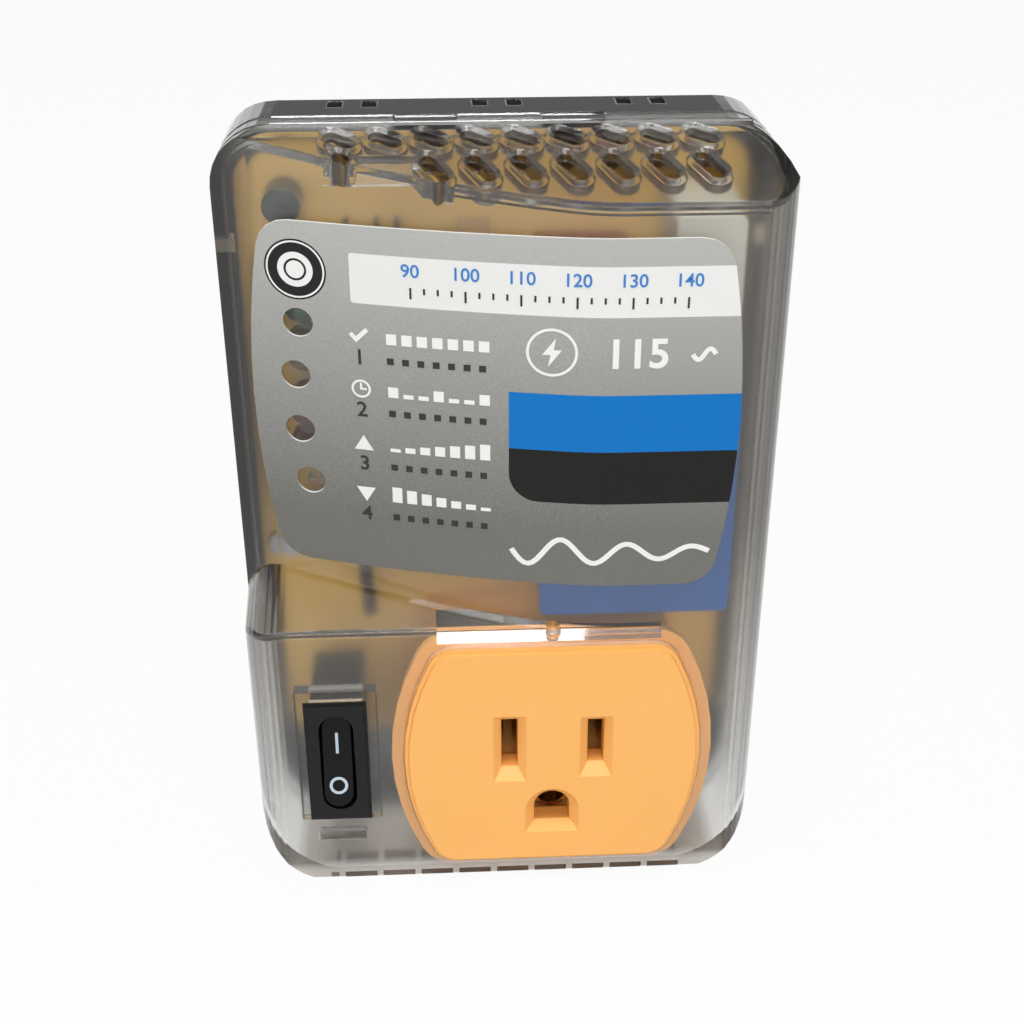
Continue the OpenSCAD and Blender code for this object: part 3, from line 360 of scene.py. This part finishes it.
# Each finish: its light and dark shade, roughness, size of the flow and of the grain, height of the grain
finishes = {
    "front_cover": smokyPolycarbonate(covers["front_cover"]),
    "back_cover": smokyPolycarbonate(covers["back_cover"]),
    # a warm satin orange with soft lights along its rounded edges
    "outlet_body": finish("Moulded orange nylon", "#FCBB68", "#F8B15A", 0.42, 30, 0.25, 0.02,
                          ior=1.53, edge=0.3),
    # tan paper and resin, a little cloudy, nearly matt
    "circuit_board": finish("Pressed phenolic laminate", "#E4BC66", "#D0A44C", 0.5, 12, 0.5, 0.03),
    # an even, deep blue with a soft gloss
    "relay_case": finish("Moulded blue PBT", "#0558A6", "#044C90", 0.35, 20, 0.3, 0.01, edge=0.3),
    # pale warm grey, smooth, with crisp edges
    "filter_capacitor": finish("Moulded grey PBT", "#CCC9BC", "#BBB8AA", 0.4, 10, 0.3, 0.01, edge=0.2),
    # a glossy brown skin that runs thicker in places
    "dropper_capacitor": finish("Dipped red-brown epoxy", "#6C2215", "#54180E", 0.2, 6, 0.8, 0.05,
                                edge=0.5),
    # a tight dark skin with a slight shine
    "storage_capacitor": finish("Green-black shrunk sleeve", "#16281C", "#0C1810", 0.3, 8, 0.5, 0.01),
    "smoothing_capacitor": finish("Blue-black shrunk sleeve", "#1A2233", "#101622", 0.3, 8, 0.5, 0.01),
    # a smooth brownish coat over a disc
    "varistor": finish("Dipped tan epoxy", "#8A6A3A", "#75572E", 0.25, 5, 0.6, 0.03, edge=0.5),
    # a slightly uneven tan coat
    "resistors": finish("Dipped tan lacquer", "#BFA777", "#AB905F", 0.35, 4, 0.4, 0.02),
    # nearly clear, with sharp lights
    "fuse": finish("Drawn clear glass", "#DDE2E2", "#CDD4D4", 0.05, 5, 1.0, 0.0, alpha=0.35),
    # deep coloured, glossy drops that are dark while they are off
    "lamp_normal": finish("Cast green epoxy", "#0B4A20", "#083817", 0.2, 3, 0.5, 0.005, shine=0.25),
    "lamp_delay": finish("Cast yellow epoxy", "#6E6410", "#5A500C", 0.2, 3, 0.5, 0.005, shine=0.25),
    "lamp_high": finish("Cast red epoxy", "#6A0F16", "#560B10", 0.2, 3, 0.5, 0.005, shine=0.25),
    # black with a dull sheen, the rocker a little smoother than its frame
    "switch_rocker": finish("Satin black nylon", "#121213", "#0C0C0D", 0.3, 8, 0.2, 0.01,
                            edge=0.3, shine=0.15),
    "switch_housing": finish("Moulded black nylon", "#121213", "#0C0C0D", 0.38, 10, 0.25, 0.02,
                             edge=0.2, shine=0.25),
    # a matt, slightly greyed black
    "relay_base": finish("Moulded black phenolic", "#202022", "#161618", 0.5, 10, 0.3, 0.02),
    # a pale metal with soft lights
    "fuse_clips": finish("Tinned brass", "#C9C8C4", "#B7B6B2", 0.3, 6, 0.2, 0.01, metallic=1.0),
    # a soft dull black
    "jumper_wire": finish("Extruded black PVC", "#26262A", "#1C1C20", 0.45, 8, 0.4, 0.02),
}
# a yellow metal, faintly drawn out along its length, and a cool grey one
brass = finish("Stamped brass", "#D9B66A", "#C39C4E", 0.28, 6, 0.25, 0.01, metallic=1.0,
               stretch=(1, 0.1, 1))
zinc = finish("Zinc plated steel", "#B9BBBE", "#9FA2A6", 0.32, 4, 0.2, 0.01, metallic=1.0)
finishes["lamp_low"] = finishes["lamp_high"]
finishes["outlet_back"] = finishes["outlet_body"]
for name in ("control_chip", "diodes", "plug_block"):
    finishes[name] = finishes["relay_base"]
for name in ("contact_line", "contact_neutral", "contact_ground", "switch_arm", "switch_common",
             "switch_output", "blade_line", "blade_neutral", "ground_pin"):
    finishes[name] = brass
for name in ("switch_plunger", "board_screw_1", "board_screw_2"):
    finishes[name] = zinc

# The label's ground from its low to its high shade, which is painted shade darkening it downwards and
# a painted sheen towards its top, its metallic fleck, drawn coarser than real so that it shows, its areas
# as left, right, low, high, corner radius and colour, and its badge's rings as radius and colour, in
# the order they print. Its edge is what looks forward by less than turned
label = {
    "low": (60.0, "#706F6A"), "high": (102.0, "#B4B4B1"), "fleck": 0.22, "fleckSize": 0.2,
    "rough": 0.45, "ior": 1.45, "shine": 0.25, "edge": "#E6E6E3", "turned": -0.5,
    "areas": [
        (-19.8, 60, 91.7, 98.4, 0.4, "#E6E6E4"),
        (0.4, 60, 65.1, 79.0, 4.0, "#161615"),
        (0.4, 60, 72.85, 81.0, 0.05, "#0070BE"),
    ],
    "badge": {"at": (-26.9, 95.5), "rings": [(4.1, "#1B1B1B"), (3.86, "#ECECEA"), (3.62, "#1B1B1B"),
                                             (2.35, "#ECECEA"), (1.5, "#1B1B1B"), (1.2, "#ECECEA")]},
}


def labelFilm():
    # screen-printed polyester film: a silver-grey ground with painted shade that darkens it downwards and
    # a painted sheen towards its top, with a fine metallic fleck, printed areas on top, and a pale cut
    # edge
    material, tree = newMaterial("Printed polyester film")
    coord = addNode(tree, "ShaderNodeTexCoord")
    point = coord.outputs["Object"]
    (lowH, paintedShadeLow), (highH, paintedSheenHigh) = label["low"], label["high"]
    # painted shade and sheen: the ground runs from a darker shade low down to a lighter one high up, for
    # the light falling from above
    paintedShadeRamp = rampAlong(tree, objectPoint(tree)["Z"], *metres((lowH, highH), body["plugHeight"]))
    fleck = spread(tree, grain(tree, label["fleckSize"], 1.0), -label["fleck"] / 2, label["fleck"] / 2)
    share = addNode(tree, "ShaderNodeMath", {0: paintedShadeRamp, 1: fleck}, operation="ADD", use_clamp=True)
    colour = shadeAt(tree, share.outputs[0], linear(paintedShadeLow), paintedSheenHigh)
    for *area, code in label["areas"]:
        colour = shadeAt(tree, printedArea(tree, point, *area), colour, code)
    for radius, code in label["badge"]["rings"]:
        colour = shadeAt(tree, printedDisc(tree, point, *label["badge"]["at"], radius), colour, code)
    facing = addNode(tree, "ShaderNodeSeparateXYZ", {0: coord.outputs["Normal"]})
    turned = addNode(tree, "ShaderNodeMath", {0: facing.outputs["Y"], 1: label["turned"]},
                     operation="GREATER_THAN")
    colour = shadeAt(tree, turned.outputs[0], colour, label["edge"])
    shader = addNode(tree, "ShaderNodeBsdfPrincipled", {
        "Base Color": colour, "Roughness": label["rough"], "IOR": label["ior"],
        "Specular IOR Level": label["shine"]})
    addNode(tree, "ShaderNodeOutputMaterial", {"Surface": shader.outputs[0]})
    return material


finishes["label_plate"] = labelFilm()

for name, node in nodes.items():
    node.data.materials.clear()
    node.data.materials.append(finishes[name])

print("printed marks")
# The label panel's front line in plan, and how proud of the film the ink lies
panel = {"bendX": 15.3, "bendRadius": 40.0, "bendAngle": 10.0, "crownRadius": 220.0, "film": 0.4,
         "ink": 0.03}


def panelDepth(x, proud):
    # depth of the panel's front line at x, moved out by proud: flat to the right of the bend, then
    # an arc of the bend's radius, then the crown's wide arc that carries on from it
    turn = math.radians(panel["bendAngle"])
    extra = panel["crownRadius"] - panel["bendRadius"]
    crownX = panel["bendX"] + extra * math.sin(turn)
    crownD = panel["bendRadius"] + extra * math.cos(turn)
    near = panel["bendRadius"] + proud
    bend = panel["bendRadius"] - np.sqrt(near ** 2 - np.minimum(x - panel["bendX"], 0) ** 2 * (x > 0))
    crown = crownD - np.sqrt((panel["crownRadius"] + proud) ** 2 - (crownX - x) ** 2)
    inBend = x > panel["bendX"] - near * math.sin(turn)
    return np.where(inBend, bend, crown)


def onPanel(u, v, w):
    # ink on the label: u across, v up, w out of the film
    return place(u, panelDepth(u, panel["film"] + panel["ink"] + w), v)


# The rocker's two face planes about its pivot, tilted with I pressed in
rocker = {"x": -24.8, "d": 3.0, "h": 23.4, "tilt": -11.0, "middle": 3.6, "end": 4.1, "half": 7.3,
          "ink": 0.04}


def onRocker(u, v, w):
    # ink on the rocker: the face runs out evenly from its middle to its ends, and the whole is
    # turned about the pivot
    out = rocker["middle"] + (rocker["end"] - rocker["middle"]) * np.abs(v) / rocker["half"]
    y = -out - rocker["ink"] - w
    turn = math.radians(rocker["tilt"])
    d = y * math.cos(turn) - v * math.sin(turn)
    h = y * math.sin(turn) + v * math.cos(turn)
    return place(rocker["x"] + u, rocker["d"] + d, rocker["h"] + h)


def circle(cx, cy, radius, steps=40):
    turn = np.linspace(0, 2 * np.pi, steps, endpoint=False)
    return np.stack([cx + radius * np.cos(turn), cy + radius * np.sin(turn)], -1)


def ring(cx, cy, radius, line):
    return [circle(cx, cy, radius), circle(cx, cy, radius - line)]


def moved(points, cx, cy, scale=1.0):
    return np.asarray(points, float) * scale + (cx, cy)


def bar(left, low, wide, high):
    return [(left, low), (left + wide, low), (left + wide, low + high), (left, low + high)]


def wave(cx, cy, length, swing, line, turns=1, calm=0.0, steps=16):
    # a sine stroke of even thickness, out along one side and back along the other; calm is the share
    # of its swing that it has lost at its right end
    t = np.linspace(-0.5, 0.5, steps * turns)
    height = swing * (1 - calm * (t + 0.5)) * np.sin(2 * np.pi * turns * t)
    middle = np.stack([cx + length * t, cy + height], -1)
    along = np.gradient(middle, axis=0)
    share = line / 2 / np.linalg.norm(along, axis=1)
    aside = np.stack([-along[:, 1], along[:, 0]], -1) * share[:, None]
    return np.concatenate([middle + aside, (middle - aside)[::-1]])


def inkShape(outlines):
    # closed outlines as one filled flat curve, where an outline inside another is a hole
    curve = bpy.data.curves.new("Outline", "CURVE")
    curve.dimensions = "2D"
    curve.fill_mode = "BOTH"
    curve.extrude = marks["thick"]
    for outline in outlines:
        spline = curve.splines.new("POLY")
        spline.points.add(len(outline) - 1)
        flat = np.zeros((len(outline), 4))
        flat[:, :2] = outline
        flat[:, 3] = 1
        spline.points.foreach_set("co", flat.ravel())
        spline.use_cyclic_u = True
    return curve, (0, 0)


def inkNumeral(text, x, h, height, weight):
    # plain numerals of a given height about a point
    curve = bpy.data.curves.new("Numeral", "FONT")
    curve.body = text
    curve.size = height / marks["figure"]
    curve.align_x = "CENTER"
    curve.align_y = "CENTER"
    curve.offset = weight
    curve.extrude = marks["thick"]
    return curve, (x, h)


def addMark(name, curves, surface, ink, bodyName):
    # flat curves with their places, made one mesh and laid on a surface
    points, faces, count = [], [], 0
    for curve, (cx, cy) in curves:
        holder = addObject("Holder", curve)
        bpy.context.view_layer.update()
        graph = bpy.context.evaluated_depsgraph_get()
        flat = bpy.data.meshes.new_from_object(holder.evaluated_get(graph))
        co = np.empty(len(flat.vertices) * 3)
        flat.vertices.foreach_get("co", co)
        points.append(co.reshape(-1, 3) + (cx, cy, 0))
        faces += [[i + count for i in face.vertices] for face in flat.polygons]
        count += len(flat.vertices)
        bpy.data.objects.remove(holder)
        bpy.data.meshes.remove(flat)
    points = np.concatenate(points)
    mesh = bpy.data.meshes.new(name)
    mesh.from_pydata(surface(points[:, 0], points[:, 1], points[:, 2]), [], faces)
    mesh.validate()
    mesh.materials.append(ink)
    piece = addObject(name, mesh)
    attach(piece, bodyName)


def printingInk(name, code):
    # screen ink: one flat shade, nearly matt, with a trace of the mesh it was pressed through
    return finish(name, code, None, 0.45, 3, 0.15, 0.004)


inks = {"white": printingInk("White screen ink", "#ECECEA"),
        "black": printingInk("Black screen ink", "#1E1E1E"),
        "blue": printingInk("Blue screen ink", "#2F7CC4"),
        "grey": printingInk("Pale grey screen ink", "#B4C3CE")}

# The label's marks in millimetres: a sign, a number and two rows of bars beside each window, a bolt in
# a ring, a rating with a wave, a scale on the white bar, and a wave that calms down. figure is the
# share of the type's size that a figure is high
marks = {
    "thick": 0.012, "figure": 0.7,
    "signX": -19.0, "signDrop": 1.0, "numberDrop": 4.1, "numberHeight": 2.1, "numberWeight": 0.04,
    "tick": [(-1.3, 0.1), (-0.85, 0.5), (-0.35, -0.1), (0.95, 1.2), (1.35, 0.75), (-0.35, -0.95)],
    "clock": (1.3, 0.3),
    "hands": [(-0.14, -0.14), (0.75, -0.14), (0.75, 0.14), (0.14, 0.14), (0.14, 0.85), (-0.14, 0.85)],
    "up": [(-1.3, -1.0), (1.3, -1.0), (0, 1.2)],
    "bolt": [(0.5, 2.0), (-1.25, -0.35), (-0.2, -0.35), (-0.5, -2.0), (1.25, 0.35), (0.2, 0.35)],
    "ring": {"at": (5.9, 86.8), "size": (3.3, 0.36)},
    "rating": {"text": "115", "at": (16.8, 86.6), "height": 3.9, "weight": 0.12},
    "wave": (25.4, 86.6, 3.0, 0.75, 0.62),
    "calming": (14.2, 57.6, 27.0, 2.3, 0.75, 3, 0.7),
    "bars": {"left": -15.4, "step": 2.0, "wide": 1.35, "drop": 1.9, "dotDrop": 4.7, "dot": 0.9,
             "heights": [[1.5] * 7, [1.5, 0.6, 0.6, 1.5, 0.6, 0.6, 1.5],
                         [0.5, 0.8, 1.1, 1.4, 1.7, 2.0, 2.3], [2.3, 2.0, 1.7, 1.4, 1.1, 0.8, 0.5]]},
    "scale": {"numbers": (90, 100, 110, 120, 130, 140), "left": -12.0, "step": 7.0, "height": 1.7,
              "weight": 0.03, "numberH": 96.5, "tickH": 93.6, "tickHigh": 1.5, "tickWide": 0.28,
              "parts": 4, "short": 0.55},
}


def windowMarks(i):
    # the sign, number and bars beside one window, as white shapes and black shapes
    x, high = marks["signX"], windows["at"][i][1]
    h = high - marks["signDrop"]
    sign = [
        [moved(marks["tick"], x, h)],
        ring(x, h, *marks["clock"]) + [moved(marks["hands"], x, h)],
        [moved(marks["up"], x, h)],
        [moved(marks["up"], x, h, -1.0)],
    ][i]
    white = [inkShape(sign)]
    black = [inkNumeral(str(i + 1), x, high - marks["numberDrop"], marks["numberHeight"],
                        marks["numberWeight"])]
    bars = marks["bars"]
    for j, barHigh in enumerate(bars["heights"][i]):
        left = bars["left"] + j * bars["step"]
        white.append(inkShape([bar(left, high - bars["drop"], bars["wide"], barHigh)]))
        black.append(inkShape([bar(left, high - bars["dotDrop"], bars["dot"], bars["dot"])]))
    return white, black


def scaleTicks():
    # a long tick under each number and shorter ones between them, about one middle line
    scale = marks["scale"]
    wide = scale["tickWide"] / 2
    for i in range((len(scale["numbers"]) - 1) * scale["parts"] + 1):
        x = scale["left"] + i * scale["step"] / scale["parts"]
        high = scale["tickHigh"] * (1.0 if i % scale["parts"] == 0 else scale["short"])
        low = scale["tickH"] + scale["tickHigh"] / 2 - high
        yield inkShape([bar(x - wide, low, 2 * wide, high)])


def labelMarks():
    white, black, blue = [], [], []
    for i in range(len(windows["at"])):
        besideWhite, besideBlack = windowMarks(i)
        white += besideWhite
        black += besideBlack
    at = marks["ring"]["at"]
    white.append(inkShape(ring(*at, *marks["ring"]["size"]) + [moved(marks["bolt"], *at)]))
    rating = marks["rating"]
    white.append(inkNumeral(rating["text"], *rating["at"], rating["height"], rating["weight"]))
    white.append(inkShape([wave(*marks["wave"])]))
    white.append(inkShape([wave(*marks["calming"])]))
    scale = marks["scale"]
    for i, number in enumerate(scale["numbers"]):
        blue.append(inkNumeral(str(number), scale["left"] + i * scale["step"], scale["numberH"],
                               scale["height"], scale["weight"]))
    black += scaleTicks()
    addMark("label_white_marks", white, onPanel, inks["white"], "housing")
    addMark("label_black_marks", black, onPanel, inks["black"], "housing")
    addMark("label_blue_marks", blue, onPanel, inks["blue"], "housing")


labelMarks()

# I as a bar's middle, width and length, and O as a ring, both about the rocker's pivot
switchMarks = {"bar": (0.0, 2.8, 0.42, 3.4), "ring": (0.0, -4.0, 1.35, 0.43)}


def rockerMarks():
    x, v, wide, long = switchMarks["bar"]
    curves = [inkShape([bar(x - wide / 2, v - long / 2, wide, long)]),
              inkShape(ring(*switchMarks["ring"]))]
    addMark("rocker_marks", curves, onRocker, inks["grey"], "rocker")


rockerMarks()

print("camera, floor and lamps")
# The camera's place in millimetres, its three directions, and its lens
view = {"at": (-8.390, -206.944, 85.754), "right": (0.998669, -0.051566, -0.000730),
        "up": (0.025022, 0.472116, 0.881181), "ahead": (0.045094, 0.880027, -0.472778),
        "lens": 52.84, "sensor": 36.0, "nearest": 0.01}


def addCamera():
    data = bpy.data.cameras.new("Camera")
    data.lens = view["lens"]
    data.sensor_width = view["sensor"]
    data.clip_start = view["nearest"]
    camera = addObject("Camera", data)
    axes = Matrix((view["right"], view["up"], [-v for v in view["ahead"]])).transposed()
    camera.matrix_world = Matrix.Translation(Vector(view["at"]) * mm) @ axes.to_4x4()
    bpy.context.scene.camera = camera


addCamera()


def whiteSeen(tree):
    # 1 for the rays that show the background: straight from the camera, mirrored or through glass
    path = addNode(tree, "ShaderNodeLightPath")
    rays = ("Is Camera Ray", "Is Glossy Ray", "Is Transmission Ray")
    return highest(tree, [path.outputs[ray] for ray in rays])


# The floor's side in metres, how far below the object it lies, its paper, and its share of plain white
floor = {"side": 16.0, "below": 0.2, "colour": "#D6D6D5", "glow": 0.95}


def addFloor():
    # matt pale paper, which takes the object's shadow under an even white
    side = floor["side"] / 2
    height = cadBox[0][2] - floor["below"] * mm
    corners = [(-side, -side, height), (side, -side, height), (side, side, height), (-side, side, height)]
    mesh = bpy.data.meshes.new("Floor")
    mesh.from_pydata(corners, [], [(0, 1, 2, 3)])
    material, tree = newMaterial("Matt pale paper")
    paper = addNode(tree, "ShaderNodeBsdfDiffuse", {"Color": linear(floor["colour"])})
    glow = addNode(tree, "ShaderNodeEmission", {"Color": pureWhite, "Strength": 1.0})
    seen = product(tree, whiteSeen(tree), floor["glow"])
    mixed = addNode(tree, "ShaderNodeMixShader", {0: seen, 1: paper.outputs[0], 2: glow.outputs[0]})
    addNode(tree, "ShaderNodeOutputMaterial", {"Surface": mixed.outputs[0]})
    mesh.materials.append(material)
    addObject("Floor", mesh)


addFloor()

# The even sky that lights the object, and the white backdrop that is seen: its height is the upward part
# of a ray, whole below the first value and gone at the second
studio = {"sky": 0.22, "white": 1.0, "rise": (0.13, 0.21)}


def addWorld():
    world = bpy.data.worlds.new("Studio")
    world.use_nodes = True
    tree = world.node_tree
    tree.nodes.clear()
    sky = addNode(tree, "ShaderNodeBackground", {"Color": pureWhite, "Strength": studio["sky"]})
    white = addNode(tree, "ShaderNodeBackground", {"Color": pureWhite, "Strength": studio["white"]})
    backdrop = rampAlong(tree, objectPoint(tree)["Z"], *studio["rise"], 1.0, 0.0)
    seen = product(tree, whiteSeen(tree), backdrop)
    mixed = addNode(tree, "ShaderNodeMixShader", {0: seen, 1: sky.outputs[0], 2: white.outputs[0]})
    addNode(tree, "ShaderNodeOutputWorld", {"Surface": mixed.outputs[0]})
    bpy.context.scene.world = world


addWorld()

# Soft boxes in metres. The glint draws the bright lines on the ledges; the overhead one beside it lights
# the inside, and isn't mirrored, because its glare would veil what lies behind the cover
lamps = [
    {"name": "Glint", "at": (-0.02, -0.14, 0.50), "size": (0.16, 0.08), "watts": 0.7},
    {"name": "Overhead", "at": (-0.02, -0.14, 0.50), "size": (0.2, 0.2), "watts": 1.5,
     "mirrored": False},
    {"name": "Front", "at": (0.05, -0.75, 0.33), "size": (0.4, 0.4), "watts": 2.3},
    {"name": "Fill", "at": (0.6, -0.5, 0.15), "size": (0.5, 0.5), "watts": 0.4},
    {"name": "Low fill", "at": (-0.3, -0.6, 0.06), "size": (0.4, 0.4), "watts": 0.6},
]
lampAim = Vector((0, -0.015, -0.015))
for lamp in lamps:
    data = bpy.data.lights.new(lamp["name"], "AREA")
    data.shape = "RECTANGLE"
    data.size, data.size_y = lamp["size"]
    data.energy = lamp["watts"]
    softBox = addObject(lamp["name"], data)
    softBox.location = lamp["at"]
    softBox.rotation_euler = (lampAim - Vector(lamp["at"])).to_track_quat("-Z", "Y").to_euler()
    softBox.visible_glossy = softBox.visible_transmission = lamp.get("mirrored", True)

bpy.context.scene.view_settings.view_transform = "Standard"
